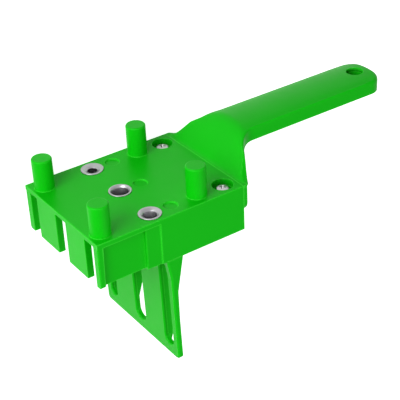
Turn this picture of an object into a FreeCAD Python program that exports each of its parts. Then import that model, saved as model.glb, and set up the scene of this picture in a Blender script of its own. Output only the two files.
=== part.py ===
import FreeCAD, Part
import math
import os

# Doweling jig: a moulded plate with four board pegs and three steel drill bushes, a slotted front
# wall, a fence that slides under the plate, and a handle screwed on behind.
# Millimetres. While it is drawn the jig stands the way it is used: x runs across it, left to right,
# y runs back from the front wall to the handle, z points up out of the plate. The origin is where
# the middle dowel axis meets the top of the plate. At the end it is laid on its left side, the way
# it rests on a bench, because the fence under it keeps it from standing.

# Dowels and bushes
dowel_left = 6.0
dowel_middle = 10.0
dowel_right = 8.0
dowel_pitch = 32.0
drill_clearance = 0.1           # bush bore over drill diameter
bush_diameter = 14.0
bush_length = 18.0              # plate top to the lower end of a bush
bush_stand = 0.5                # bush end above the plate
bush_outer_chamfer = 0.5
bush_mouth_chamfer = 0.4
bush_seat_clearance = 0.04      # seat diameter over bush diameter

# Body moulding
side_margin = 9.5               # outer dowel axis to the body's side
front_margin = 8.2              # front peg axis to the front face
rear_margin = 8.5               # screw axis to the rear end
body_depth = 30.0
plate_thickness = 3.0
front_wall = 4.4
side_wall = 2.6
panel_wall = 2.0
panel_recess = 3.1              # front part of each side, set in behind the corner post
post_depth = 3.5                # corner post, front to back
pad_front = -9.0                # y where the side stands out again
pad_length = 9.9
pad_recess = 0.7
pad_corner_round = 0.6
pad_edge_round = 0.3
post_corner = 0.8
post_foot_round = 2.1
front_slot_clearance = 1.8      # slot width over dowel diameter
plate_edge_round = 0.35

# Board pegs
peg_diameter = 12.4
peg_height = 19.9
peg_span = 65.2                 # front to rear peg axes
peg_wall = 2.2
peg_top_bevel = 0.6

# Moulded marks behind the bushes
mark_diameter = 8.7
mark_offset = 14.2
mark_depth = 0.9

# Inner bosses and ribs
bush_boss_wall = 2.2
rib_thickness = 2.0
long_rib_offset = 16.0          # centre line to each long rib
long_rib_depth = 10.0

# Fence rails in the side walls
rail_lip = 2.6
rail_groove = 3.0
rail_roof = 2.0
rail_roof_rise = 2.0            # extra roof height where it meets the wall
rail_clearance = 0.25           # above and below the tongue
rail_end_clearance = 0.3        # beside the tongue

# Handle screws
screw_diameter = 3.9
screw_length = 16.0
screw_head_diameter = 8.4
screw_head_height = 2.6
screw_head_bevel = 0.9
screw_point = 3.0
screw_offset = 51.0             # behind the middle dowel axis
screw_recess_diameter = 13.0
screw_recess_depth = 4.2
screw_floor = 2.5
screw_boss_wall = 2.2
screw_hole_clearance = 0.7      # hole in the body over screw diameter
screw_thread_clearance = 0.06   # hole in the handle's foot over screw diameter
cross_width = 1.3
cross_length = 4.6
cross_depth = 1.5
cross_turn = 45.0

# Handle moulding
flange_thickness = 2.8
flange_depth = 18.3
flange_corner = 6.0
foot_thickness = 3.0
foot_reach = 8.5                # foot in front of the screw axes
foot_front_gap = 0.5            # long ribs to the foot
foot_side_clearance = 0.4
foot_boss_diameter = 8.6
foot_boss_overrun = 0.6         # boss end below the rail groove
handle_length = 133.9           # from the body's rear end
grip_width = 32.0
grip_top = 21.4                 # above the plate
grip_edge_height = 10.9         # grip top to skirt rim
grip_crown = 2.1                # rise of the grip top over its edges
grip_end_corner = 10.5
grip_edge_bevel = 0.9
neck_slope = 53.0               # degrees, front face of the neck
neck_root_round = 3.8
neck_shoulder_round = 14.0
neck_lean = 54.3                # degrees, neck sides seen from the front
neck_lean_inset = 5.8           # body's side to where a leaning side would meet the plate
neck_lean_round = 11.0          # where a leaning side runs out into the flange
neck_bend_drop = 5.7            # grip top to where the leaning sides bend in
neck_bend_fall = 24.0           # degrees, sides above the bend, seen from the front
neck_bend_round = 10.0
neck_base_length = 3.5          # full-width part of the neck, from the body's end
neck_base_round = 2.0
neck_side_slope = 30.5          # degrees, neck sides seen from above
neck_side_round = 15.0
neck_rim_drop = 1.0             # neck rim below the plate top where it leaves the flange
neck_rim_back = 16.9            # flange to where the rim meets the grip rim
neck_rim_round = 10.0
handle_wall = 2.8
gusset_thickness = 2.2
gusset_offset = 11.0
gusset_drop = 15.0
gusset_back = 24.0
grip_rib_spacing = 21.0
grip_rib_count = 5
grip_rib_lift = 1.2             # rib edge above the skirt rim
hang_hole_diameter = 11.0
hang_hole_inset = 11.7          # handle end to hole axis
hang_hole_wall = 2.6

# Sliding fence
fence_setback = 0.2             # body's side to the fence's side
fence_length = 74.6             # shoulder top to the fence's lower edge
fence_thickness = 3.5
fence_face = 6.0                # middle dowel axis to the fence face, at its forward stop
fence_lean = 1.3                # degrees, face leaning back towards its lower edge
fence_shoulder = 11.2           # thickness right under the body
fence_shoulder_lead = 2.3       # shoulder in front of the face
fence_taper_depth = 26.0        # shoulder down to plain thickness
fence_flare_depth = 13.0
fence_flare_round = 20.0
fence_taper_round = 30.0
fence_corner = 3.0
fence_edge_bevel = 0.8
fence_slot_clearance = 0.6      # slot width over dowel diameter
fence_slot_web = 7.4            # below the slots
fence_slot_roof = 4.0           # shoulder top to slot top
fence_slot_round = 1.6          # upper corners of a slot
fence_slot_edge = 0.7           # eased front edges of the slots
fence_rib = 2.4
fence_rib_slope = 0.2           # rib depth gained for each millimetre upwards
fence_rib_round = 20.0          # where a rib runs out into the plate
fence_rib_run = 4.0             # length over which its foot sinks into the plate
fence_rib_sink = 0.3
fence_middle_rib_foot = 23.0    # lower edge of the fence to the ribs beside the middle slot
fence_inner_rib_foot = 5.0      # the same for the ribs on the inner sides of the outer slots
fence_pocket_round = 1.0
fence_travel = 14.0
fence_stop_gap = 0.3            # carriage to its stops, front and rear
body_gap = 0.3                  # fence shoulder under the body's rim

# Places and sizes that follow from the values above
half_width = dowel_pitch + side_margin
front_reach = peg_span / 2 + front_margin
rear_reach = screw_offset + rear_margin
clear_half = half_width - panel_recess - panel_wall
rail_half = half_width - side_wall
bosses_half = rail_half + side_wall / 2
dowels = (("left", -dowel_pitch, dowel_left),
          ("middle", 0.0, dowel_middle),
          ("right", dowel_pitch, dowel_right))
rail_floor = -body_depth + rail_lip
rail_top = rail_floor + rail_groove
screw_seat = -screw_recess_depth
screw_boss_end = screw_seat - screw_floor
screw_places = (("left", -dowel_pitch), ("right", dowel_pitch))
foot_front = screw_offset - foot_reach
foot_boss_end = rail_floor - foot_boss_overrun
flange_back = rear_reach + flange_thickness
grip_end = rear_reach + handle_length
grip_rim = grip_top - grip_edge_height
hang_hole_place = grip_end - hang_hole_inset
fence_front = fence_face - fence_shoulder_lead
fence_half = half_width - fence_setback
fence_slope = math.tan(math.radians(fence_lean))
shoulder_top = -body_depth - body_gap
fence_low = shoulder_top - fence_length
flare_end = shoulder_top - fence_flare_depth
taper_end = shoulder_top - fence_taper_depth
groove_front = fence_front - fence_stop_gap
carriage_back = screw_offset - foot_boss_diameter / 2 - fence_travel - fence_stop_gap

# Drawing helps
past = 1.0                      # how far a cut runs past the face that it opens
tiny = 1e-4                     # two points closer than this are one


def point(x, y, z):
    return FreeCAD.Vector(x, y, z)


def both_sides(half):
    """Limits of a thing centred on the jig's middle plane."""
    return (-half, half)


def block(x_span, y_span, z_span):
    """Box between three pairs of limits."""
    size = [span[1] - span[0] for span in (x_span, y_span, z_span)]
    return Part.makeBox(*size, point(x_span[0], y_span[0], z_span[0]))


def upright_cylinder(diameter, x, y, bottom, top):
    """Cylinder along a dowel, peg, screw or hole axis."""
    return Part.makeCylinder(diameter / 2, top - bottom, point(x, y, bottom))


def turned(corners):
    """Solid of revolution about the z axis, from (radius, z, corner radius) corners."""
    section = outline_face(corners, lambda r, z: point(r, 0, z))
    return section.revolve(point(0, 0, 0), point(0, 0, 1), 360)


def corner_arc(before, corner, after, radius):
    """Start, middle and end of the arc that rounds one corner of an outline."""
    to_before = (before - corner).normalize()
    to_after = (after - corner).normalize()
    half_angle = to_before.getAngle(to_after) / 2
    inward = (to_before + to_after).normalize()
    start = corner + to_before * (radius / math.tan(half_angle))
    end = corner + to_after * (radius / math.tan(half_angle))
    middle = corner + inward * (radius / math.sin(half_angle) - radius)
    return start, middle, end


def outline_face(corners, place):
    """Flat face inside (a, b, radius) corners; place turns (a, b) into a point in space."""
    spots = [place(a, b) for a, b, radius in corners]
    joints = []
    for index, (a, b, radius) in enumerate(corners):
        spot = spots[index]
        following = spots[(index + 1) % len(spots)]
        if radius > 0:
            joints.append(corner_arc(spots[index - 1], spot, following, radius))
        else:
            joints.append((spot, None, spot))
    edges = []
    for index, (start, middle, end) in enumerate(joints):
        if middle is not None:
            edges.append(Part.Arc(start, middle, end).toShape())
        next_start = joints[(index + 1) % len(joints)][0]
        if (next_start - end).Length > tiny:
            edges.append(Part.LineSegment(end, next_start).toShape())
    return Part.Face(Part.Wire(edges))


def mirrored(right):
    """Closed outline from the corners of its right half, given from bottom to top or front to back."""
    return right + [(-a, b, radius) for a, b, radius in reversed(right)]


def side_prism(corners, x_span):
    """Solid with its outline in the side view, (y, z), and its length across the jig."""
    face = outline_face(corners, lambda y, z: point(x_span[0], y, z))
    return face.extrude(point(x_span[1] - x_span[0], 0, 0))


def plan_prism(corners, z_span):
    """Solid with its outline in the view from above, (x, y)."""
    face = outline_face(corners, lambda x, y: point(x, y, z_span[0]))
    return face.extrude(point(0, 0, z_span[1] - z_span[0]))


def front_prism(corners, y_span):
    """Solid with its outline in the front view, (x, z)."""
    face = outline_face(corners, lambda x, z: point(x, y_span[0], z))
    return face.extrude(point(0, y_span[1] - y_span[0], 0))


def chosen_edges(shape, wanted):
    """Every edge of a shape for which wanted(middle of the edge) is true."""
    return [edge for edge in shape.Edges
            if wanted(edge.valueAt((edge.FirstParameter + edge.LastParameter) / 2))]


def rounded(shape, radius, wanted):
    """Shape with its chosen edges filleted."""
    return shape.makeFillet(radius, chosen_edges(shape, wanted)).Solids[0]


def bevelled(shape, size, wanted):
    """Shape with its chosen edges chamfered."""
    return shape.makeChamfer(size, chosen_edges(shape, wanted)).Solids[0]


def body_plate():
    """Top plate with its eased upper edges; the rear edge stays sharp against the handle."""
    plate = block(both_sides(half_width), (-front_reach, rear_reach), (-plate_thickness, 0))
    return rounded(plate, plate_edge_round,
                   lambda middle: middle.z > -tiny and middle.y < rear_reach - tiny)


def front_wall_solid():
    """Front wall with a narrow post at each corner and rounded feet."""
    back = -front_reach + front_wall
    plan = mirrored([(half_width, back, 0), (half_width, -front_reach, post_corner)])
    wall = plan_prism(plan, (-body_depth, -plate_thickness / 2))
    foot = mirrored([(half_width, 0, 0), (half_width, -body_depth, post_foot_round)])
    wall = wall.common(front_prism(foot, (-front_reach, back)))
    panels_half = clear_half + panel_wall
    for side in (-1, 1):
        near, far = sorted((side * panels_half, side * (half_width + past)))
        wall = wall.cut(block((near, far), (-front_reach + post_depth, back + past),
                              (-body_depth - past, -plate_thickness)))
    return wall


def side_wall_solid(side):
    """One side wall: recessed panel in front, pad, then the rear wall with the fence rail."""
    front = -front_reach + front_wall / 2
    panel_outer = clear_half + panel_wall
    pad_outer = half_width - pad_recess
    pad_back = pad_front + pad_length
    plan = [(clear_half, front, 0), (panel_outer, front, 0),
            (panel_outer, pad_front, pad_corner_round), (pad_outer, pad_front, pad_corner_round),
            (pad_outer, pad_back, 0), (half_width, pad_back, pad_edge_round),
            (half_width, rear_reach, 0), (rail_half, rear_reach, 0),
            (rail_half, groove_front, 0), (clear_half, groove_front, 0)]
    plan = [(side * x, y, radius) for x, y, radius in plan]
    wall = plan_prism(plan, (-body_depth, -plate_thickness / 2))
    rail_run = (groove_front - side_wall / 2, rear_reach)
    near, far = sorted((side * clear_half, side * bosses_half))
    wall = wall.fuse(block((near, far), rail_run, (-body_depth, rail_floor)))
    roof_high = rail_top + rail_roof + rail_roof_rise
    roof = [(clear_half, rail_top, 0), (bosses_half, rail_top, 0), (bosses_half, roof_high, 0),
            (rail_half, roof_high, 0), (clear_half, rail_top + rail_roof, 0)]
    roof = [(side * x, z, radius) for x, z, radius in roof]
    return wall.fuse(front_prism(roof, rail_run))


def pegs_and_cores():
    """The four board pegs, and the cores that hollow them from below."""
    pegs = []
    cores = []
    for x in (-dowel_pitch, dowel_pitch):
        for y in (-peg_span / 2, peg_span / 2):
            peg = turned([(0, -plate_thickness / 2, 0), (peg_diameter / 2, -plate_thickness / 2, 0),
                          (peg_diameter / 2, peg_height - peg_top_bevel, 0),
                          (peg_diameter / 2 - peg_top_bevel, peg_height, 0), (0, peg_height, 0)])
            peg.translate(point(x, y, 0))
            pegs.append(peg)
            cores.append(upright_cylinder(peg_diameter - 2 * peg_wall, x, y,
                                          -plate_thickness - past, peg_height - peg_wall))
    return pegs, cores


def inner_bosses():
    """Bosses round the bushes and under the screw heads, kept inside the side walls."""
    bosses = []
    for name, x, dowel in dowels:
        bosses.append(upright_cylinder(bush_diameter + 2 * bush_boss_wall, x, 0,
                                       -bush_length, -plate_thickness / 2))
    for name, x in screw_places:
        bosses.append(upright_cylinder(screw_recess_diameter + 2 * screw_boss_wall, x, screw_offset,
                                       screw_boss_end, -plate_thickness / 2))
    inside = block(both_sides(bosses_half), (-front_reach, rear_reach), (-body_depth, 0))
    return [boss.common(inside) for boss in bosses]


def inner_ribs():
    """Cross rib through the three bush bosses, and two long ribs under the plate."""
    ribs = [block(both_sides(bosses_half), both_sides(rib_thickness / 2),
                  (-bush_length, -plate_thickness / 2))]
    run = (-front_reach + front_wall / 2, foot_front - foot_front_gap)
    for x in (-long_rib_offset, long_rib_offset):
        ribs.append(block((x - rib_thickness / 2, x + rib_thickness / 2), run,
                          (-long_rib_depth, -plate_thickness / 2)))
    return ribs


def body():
    """Body moulding: plate, walls, pegs, bosses and ribs in one, then its seats and slots."""
    pegs, cores = pegs_and_cores()
    walls = [front_wall_solid(), side_wall_solid(-1), side_wall_solid(1)]
    solid = body_plate().fuse(walls + pegs + inner_bosses() + inner_ribs())
    cuts = cores
    for name, x, dowel in dowels:
        half = (dowel + front_slot_clearance) / 2
        cuts.append(block((x - half, x + half), (-front_reach - past, -front_reach + front_wall),
                          (-body_depth - past, -plate_thickness)))
        cuts.append(upright_cylinder(bush_diameter + bush_seat_clearance, x, 0, -body_depth, past))
        cuts.append(upright_cylinder(mark_diameter, x, mark_offset, -mark_depth, past))
    for name, x in screw_places:
        cuts.append(upright_cylinder(screw_recess_diameter, x, screw_offset, screw_seat, past))
        cuts.append(upright_cylinder(screw_diameter + screw_hole_clearance, x, screw_offset, -body_depth, 0))
    return solid.cut(cuts).removeSplitter()


def bush(x, dowel):
    """Hardened drill bush with a lead-in at its mouth."""
    bore = (dowel + drill_clearance) / 2
    outer = bush_diameter / 2
    corners = [(bore, -bush_length, 0), (outer - bush_outer_chamfer, -bush_length, 0),
               (outer, -bush_length + bush_outer_chamfer, 0), (outer, bush_stand - bush_outer_chamfer, 0),
               (outer - bush_outer_chamfer, bush_stand, 0), (bore + bush_mouth_chamfer, bush_stand, 0),
               (bore, bush_stand - bush_mouth_chamfer, 0)]
    ring = turned(corners)
    ring.translate(point(x, 0, 0))
    return ring


def handle_screw(x):
    """Pan-head screw with a cross recess, seated in its counterbore."""
    shank = screw_diameter / 2
    head = screw_head_diameter / 2
    top = screw_seat + screw_head_height
    tip = screw_seat - screw_length
    screw = turned([(0, tip, 0), (shank, tip + screw_point, 0), (shank, screw_seat, 0), (head, screw_seat, 0),
                    (head, top - screw_head_bevel, 0), (head - screw_head_bevel, top, 0), (0, top, 0)])
    for quarter in (0, 90):
        arm = mirrored([(cross_width / 2, top - cross_depth, 0), (cross_length / 2, top + past, 0)])
        cut = front_prism(arm, both_sides(cross_width / 2))
        cut.rotate(point(0, 0, 0), point(0, 0, 1), quarter + cross_turn)
        screw = screw.cut(cut)
    screw.translate(point(x, screw_offset, 0))
    return screw


def upper_curve():
    """Side view of the handle's top: up the flange, over the neck and along the grip."""
    root = rear_reach + neck_root_round * math.tan(math.radians(neck_slope / 2))
    shoulder = root + grip_top / math.tan(math.radians(neck_slope))
    return [(rear_reach, 0, 0), (root, 0, neck_root_round), (shoulder, grip_top, neck_shoulder_round),
            (grip_end, grip_top, 0)]


def rimmed_profile():
    """Side view of the handle with its lower rim, from the flange up to the grip's rim."""
    return upper_curve() + [(grip_end, grip_rim, 0), (flange_back + neck_rim_back, grip_rim, neck_rim_round),
                            (flange_back, -neck_rim_drop, 0), (rear_reach, -neck_rim_drop, 0)]


def deep_profile():
    """Side view without a rim, to hollow the handle from below."""
    return upper_curve() + [(grip_end, -body_depth, 0), (rear_reach, -body_depth, 0)]


def handle_plan():
    """View of neck and grip from above."""
    grip_half = grip_width / 2
    neck_end = rear_reach + neck_base_length
    grip_start = neck_end + (half_width - grip_half) * math.tan(math.radians(neck_side_slope))
    return mirrored([(half_width, rear_reach, 0), (half_width, neck_end, neck_base_round),
                     (grip_half, grip_start, neck_side_round), (grip_half, grip_end, grip_end_corner)])


def leaning_outline():
    """Front view of the neck: its leaning sides run out into the flange in a hollow curve, and bend
    in at the shoulder."""
    foot = half_width - neck_lean_inset
    bend = grip_top - neck_bend_drop
    bend_half = foot - bend / math.tan(math.radians(neck_lean))
    top_half = bend_half - (neck_bend_drop + past) / math.tan(math.radians(neck_bend_fall))
    return mirrored([(half_width, -body_depth, 0), (half_width, 0, 0), (foot, 0, neck_lean_round),
                     (bend_half, bend, neck_bend_round), (top_half, grip_top + past, 0)])


def crowned_plan(face, inset):
    """The plan drawn up to the crown, a cylinder along the grip. Only the outer form has its edge eased."""
    half = grip_width / 2
    radius = (half ** 2 + grip_crown ** 2) / (2 * grip_crown)
    axis_height = grip_top - radius
    crown = Part.makeCylinder(radius - inset, grip_end + past, point(0, 0, axis_height), point(0, 1, 0))
    solid = face.extrude(point(0, 0, body_depth + grip_top + past)).common(crown).Solids[0]
    if inset > 0:
        return solid

    def crown_edge(middle):
        on_crown = abs(math.hypot(middle.x, middle.z - axis_height) - radius) < tiny
        return on_crown and middle.y > rear_reach + tiny and abs(middle.x) > tiny

    return bevelled(solid, grip_edge_bevel, crown_edge)


def handle_form(profile, inset=0.0):
    """Side view, plan and front view of the handle run through one another, all set in alike."""
    faces = [outline_face(profile, lambda y, z: point(-half_width, y, z)),
             outline_face(handle_plan(), lambda x, y: point(x, y, -body_depth)),
             outline_face(leaning_outline(), lambda x, z: point(x, 0, z))]
    if inset > 0:
        faces = [Part.Face(face.OuterWire.makeOffset2D(-inset)) for face in faces]
    form = faces[0].extrude(point(2 * half_width, 0, 0))
    form = form.common(crowned_plan(faces[1], inset))
    return form.common(faces[2].extrude(point(0, grip_end + past, 0))).Solids[0]


def grip_ribs():
    """One long rib, cross ribs and the hanging hole's sleeve, for the inside of the grip."""
    first = flange_back + gusset_back
    low = grip_rim + grip_rib_lift
    ribs = [block(both_sides(rib_thickness / 2), (first, grip_end), (low, grip_top))]
    for step in range(grip_rib_count):
        y = first + step * grip_rib_spacing
        ribs.append(block(both_sides(grip_width / 2), (y - rib_thickness / 2, y + rib_thickness / 2),
                          (low, grip_top)))
    ribs.append(upright_cylinder(hang_hole_diameter + 2 * hang_hole_wall, 0, hang_hole_place, low, grip_top))
    return ribs


def neck_gussets():
    """Webs from the back of the flange to the underside of the neck."""
    start = flange_back - flange_thickness / 2
    end = flange_back + gusset_back + rib_thickness / 2
    outline = [(start, -gusset_drop, 0), (end, grip_rim + grip_rib_lift, 0),
               (end, grip_top, 0), (start, grip_top, 0)]
    webs = []
    for x in (-gusset_offset, 0, gusset_offset):
        webs.append(side_prism(outline, (x - gusset_thickness / 2, x + gusset_thickness / 2)))
    return webs


def handle_foot():
    """Tongue under the plate that the two screws pull up against the body's screw bosses."""
    solid = block(both_sides(rail_half - foot_side_clearance),
                  (foot_front, flange_back - flange_thickness / 2),
                  (screw_boss_end - foot_thickness, screw_boss_end))
    between_rails = block(both_sides(clear_half - foot_side_clearance), (foot_front, rear_reach),
                          (-body_depth, screw_boss_end))
    for name, x in screw_places:
        boss = upright_cylinder(foot_boss_diameter, x, screw_offset, foot_boss_end, screw_boss_end)
        solid = solid.fuse(boss.common(between_rails))
    for name, x in screw_places:
        solid = solid.cut(upright_cylinder(screw_diameter + screw_thread_clearance, x, screw_offset,
                                           -body_depth, 0))
    return solid


def handle():
    """Grip, neck, flange and foot, moulded in one and ribbed inside."""
    solid = handle_form(rimmed_profile()).cut(handle_form(deep_profile(), handle_wall))
    flange = mirrored([(half_width, 0, 0), (half_width, -flange_depth, flange_corner)])
    solid = solid.fuse(front_prism(flange, (rear_reach, flange_back)))
    inside_skin = handle_form(deep_profile(), handle_wall / 2)
    webs = [web.common(inside_skin) for web in grip_ribs() + neck_gussets()]
    solid = solid.fuse(webs + [handle_foot()])
    hole = upright_cylinder(hang_hole_diameter, 0, hang_hole_place, 0, grip_top + past)
    return solid.cut(hole).removeSplitter()


def fence_plate():
    """Leaning fence plate with its thick shoulder, before slots and pockets are cut."""
    low_face = fence_face + (flare_end - fence_low) * fence_slope
    taper_face = fence_face + (flare_end - taper_end) * fence_slope
    profile = [(fence_front, shoulder_top, 0), (fence_face, flare_end, fence_flare_round),
               (low_face, fence_low, 0), (low_face + fence_thickness, fence_low, 0),
               (taper_face + fence_thickness, taper_end, fence_taper_round),
               (fence_front + fence_shoulder, shoulder_top, 0)]
    outline = mirrored([(fence_half, shoulder_top, 0), (fence_half, fence_low, fence_corner)])
    plate = side_prism(profile, both_sides(fence_half))
    plate = plate.common(front_prism(outline, (0, rear_reach))).Solids[0]
    face_line = low_face + fence_thickness / 3

    def front_edge(middle):
        at_side = abs(middle.x) > fence_half - fence_corner
        at_rim = at_side or middle.z < fence_low + tiny
        return at_rim and middle.y < face_line and middle.z < shoulder_top - fence_flare_depth / 2

    return bevelled(plate, fence_edge_bevel, front_edge)


def fence_carriage():
    """Slide plate with tongues for the two rails, on a block that stands on the fence's shoulder."""
    tongue = (rail_floor + rail_clearance, rail_top - rail_clearance)
    slide = block(both_sides(rail_half - rail_end_clearance), (fence_front, carriage_back), tongue)
    stand = block(both_sides(clear_half - rail_end_clearance), (fence_front, fence_front + fence_shoulder),
                  (shoulder_top, tongue[1]))
    return slide.fuse(stand)


def fence_slot(x, width, low, top):
    """Cutter for one slot: rounded below, with eased corners above."""
    half = width / 2
    corners = [(x + half, top, min(fence_slot_round, half)), (x + half, low, half),
               (x - half, low, half), (x - half, top, min(fence_slot_round, half))]
    return front_prism(corners, (0, rear_reach))


def fence_slot_rib(left, right, foot):
    """Rib behind the fence plate beside a slot: as deep as the shoulder, then tapering to its foot."""
    low = fence_low + foot
    plate_back = fence_face + (flare_end - low) * fence_slope + fence_thickness
    back = fence_front + fence_shoulder
    full = min(low + (back - plate_back) / fence_rib_slope, shoulder_top - fence_slot_roof)
    profile = [(fence_face + fence_thickness / 2, shoulder_top, 0), (back, shoulder_top, 0),
               (back, full, 0), (plate_back, low, fence_rib_round),
               (plate_back - fence_rib_sink, low - fence_rib_run, 0),
               (plate_back - fence_thickness / 2, low - fence_rib_run, 0)]
    return side_prism(profile, (left, right))


def fence_pocket(left, right, top):
    """Cutter for the hollow behind the fence face between two slot ribs, open to the rear."""
    floor_thin = fence_face + (flare_end - taper_end) * fence_slope + fence_thickness
    profile = [(fence_face + fence_thickness, top, fence_pocket_round), (floor_thin, taper_end, 0),
               (rear_reach, taper_end, 0), (rear_reach, top, 0)]
    return side_prism(profile, (left, right))


def slotted_plate(sides, slot_top):
    """Fence plate with its slots, whose front edges are eased."""
    slots = [fence_slot((left + right) / 2, right - left, fence_low + fence_slot_web, slot_top)
             for left, right in sides]

    def slot_edge(middle):
        face = fence_face + (flare_end - middle.z) * fence_slope
        beside = any(left - tiny < middle.x < right + tiny for left, right in sides)
        below = fence_low + fence_slot_web - tiny
        return beside and below < middle.z < slot_top + tiny and middle.y < face + fence_thickness / 3

    return bevelled(fence_plate().cut(slots), fence_slot_edge, slot_edge)


def fence():
    """Sliding fence: slotted plate, ribs and pockets behind it, and carriage."""
    slot_top = shoulder_top - fence_slot_roof
    sides = [(x - (dowel + fence_slot_clearance) / 2, x + (dowel + fence_slot_clearance) / 2)
             for name, x, dowel in dowels]
    left, middle, right = sides
    ribs = [fence_slot_rib(left[1], left[1] + fence_rib, fence_inner_rib_foot),
            fence_slot_rib(middle[0] - fence_rib, middle[0], fence_middle_rib_foot),
            fence_slot_rib(middle[1], middle[1] + fence_rib, fence_middle_rib_foot),
            fence_slot_rib(right[0] - fence_rib, right[0], fence_inner_rib_foot)]
    pockets = [fence_pocket(before[1] + fence_rib, after[0] - fence_rib, slot_top)
               for before, after in zip(sides, sides[1:])]
    solid = slotted_plate(sides, slot_top).cut(pockets)
    return solid.fuse(ribs + [fence_carriage()]).removeSplitter()


def laid_on_left_side(shape):
    """Turn the upright jig so that its left side is down: x points up, y forward, z to the left."""
    lying = shape.copy()
    lying.rotate(point(0, 0, 0), point(1, 1, 1), -120)
    return lying


def pieces():
    """Every separate piece by name."""
    parts = {"jig_body": body(), "handle": handle(), "sliding_fence": fence()}
    for name, x, dowel in dowels:
        parts["bush_%s" % name] = bush(x, dowel)
    for name, x in screw_places:
        parts["handle_screw_%s" % name] = handle_screw(x)
    return parts


os.makedirs("parts", exist_ok=True)
for node, shape in pieces().items():
    laid_on_left_side(shape).exportStep("parts/%s.step" % node)
    print(node, "solids", len(shape.Solids), "valid", shape.isValid(), "volume", round(shape.Volume, 1))
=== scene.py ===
import math

import bmesh
import bpy
import numpy as np
from bpy.props import FloatProperty, FloatVectorProperty, IntProperty, PointerProperty
from mathutils import Matrix, Vector


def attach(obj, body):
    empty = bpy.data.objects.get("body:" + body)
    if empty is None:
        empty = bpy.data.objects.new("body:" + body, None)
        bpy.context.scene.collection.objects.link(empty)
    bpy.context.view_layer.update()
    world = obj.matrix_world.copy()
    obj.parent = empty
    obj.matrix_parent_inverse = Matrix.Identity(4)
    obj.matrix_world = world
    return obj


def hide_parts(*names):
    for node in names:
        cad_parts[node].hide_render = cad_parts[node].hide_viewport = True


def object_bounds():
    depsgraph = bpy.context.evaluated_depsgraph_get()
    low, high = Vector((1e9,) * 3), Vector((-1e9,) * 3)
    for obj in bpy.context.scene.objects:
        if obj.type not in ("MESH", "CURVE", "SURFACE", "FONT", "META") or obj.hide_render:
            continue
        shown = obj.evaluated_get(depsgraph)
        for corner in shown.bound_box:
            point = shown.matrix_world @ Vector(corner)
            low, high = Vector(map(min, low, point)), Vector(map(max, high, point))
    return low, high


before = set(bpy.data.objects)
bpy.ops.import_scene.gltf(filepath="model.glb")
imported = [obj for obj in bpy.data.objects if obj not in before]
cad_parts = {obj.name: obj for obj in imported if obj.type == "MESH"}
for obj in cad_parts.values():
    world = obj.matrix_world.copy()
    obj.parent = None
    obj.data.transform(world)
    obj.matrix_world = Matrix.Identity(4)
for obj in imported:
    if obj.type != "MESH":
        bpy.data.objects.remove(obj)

# A doweling jig lying on its left side. In this frame x runs along the jig from the slotted front
# wall to the end of the handle, y runs out of the plate's top face, and z runs across it, upwards,
# from the left side that it lies on to the right side. Lengths are in metres.

bl_info = {
    "name": "Doweling Jig",
    "version": (1, 0, 0),
    "blender": (4, 5, 0),
    "location": "3D Viewport > Sidebar > Doweling Jig",
    "description": "Dresses the jig's CAD parts with moulded plastic, turned steel and a studio",
    "category": "Add Mesh",
}

MM = 0.001
CAD_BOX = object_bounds()

# Places that the pieces share
PITCH = 32.0 * MM                   # between neighbouring bushes
SCREW_ALONG = 51.0 * MM             # middle bush axis to the screws
BUSHES = (("left", -PITCH, 6.0 * MM), ("middle", 0.0, 10.0 * MM), ("right", PITCH, 8.0 * MM))
SCREWS = (("left", -PITCH), ("right", PITCH))
BODY_END = 59.5 * MM                # middle bush axis to the body's rear end
BODY_HALF = 41.5 * MM               # half the body's width
FLANGE_BACK = 62.3 * MM             # middle bush axis to the rear of the handle's flange

# Merging, easing and shading of meshes
SMOOTH_TURN = math.radians(35.0)    # edges that turn by less are shaded smooth
WELD = 1e-6                         # points of a CAD solid that are nearer than this become one
PIECE_WELD = 2e-6                   # the same for a new piece
SLIVER = 1e-7                       # edges shorter than this are taken out of a new piece
FLAT_TURN = math.radians(0.6)       # faces that turn by less are merged
SLIGHT_TURN = math.radians(5.0)     # an edge that turns by less leaves room for an eased one
EDGE_STRIPS = 3                     # strips across an eased edge
NO_LENGTH = 1e-12                   # a normal shorter than this has no direction

# Fence and the ribs behind it
FENCE_LOW = -104.9 * MM             # lower edge of the fence
FENCE_KNEE = -43.3 * MM             # height below which the fence leans back
FENCE_BACK = 9.4 * MM               # middle bush axis to its rear face at that height
FENCE_LEAN = math.radians(1.3)      # lean from the upright below it
SLOT_ROOM = 0.6 * MM                # width of a slot over its dowel
RIB_PROUD = 0.02 * MM               # a rib's side past the wall of its slot
RIB_ROOT = 8.0 * MM                 # middle bush axis to a rib's upper corner, inside the fence
RIB_SLANT = 0.3                     # depth that a rib gains in a unit of height above its foot
RIB_CREST = 0.3 * MM                # radius at a rib's upper rear corner
RIB_BEND = 5.0 * MM                 # radius between full depth and slant
RIB_RUNOUT = 6.0 * MM               # radius between slant and fence
RIB_TAIL = 2.0 * MM                 # a rib's end below its foot, inside the fence
RIB_TAIL_SINK = (0.3 * MM, 1.4 * MM)    # its two corners from the fence's rear face
SHALLOW = (1.7 * MM, 4.5 * MM, 1.5 * MM, -48.0 * MM)    # thickness, foot over the fence's lower
DEEP = (2.3 * MM, 3.0 * MM, 6.0 * MM, -31.0 * MM)       # edge, depth and top of each kind of rib
MIDDLE = (2.3 * MM, 21.0 * MM, 6.0 * MM, -31.0 * MM)
RIBS = ((SHALLOW, DEEP), (MIDDLE, MIDDLE), (DEEP, SHALLOW))     # left and right of each slot

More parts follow.
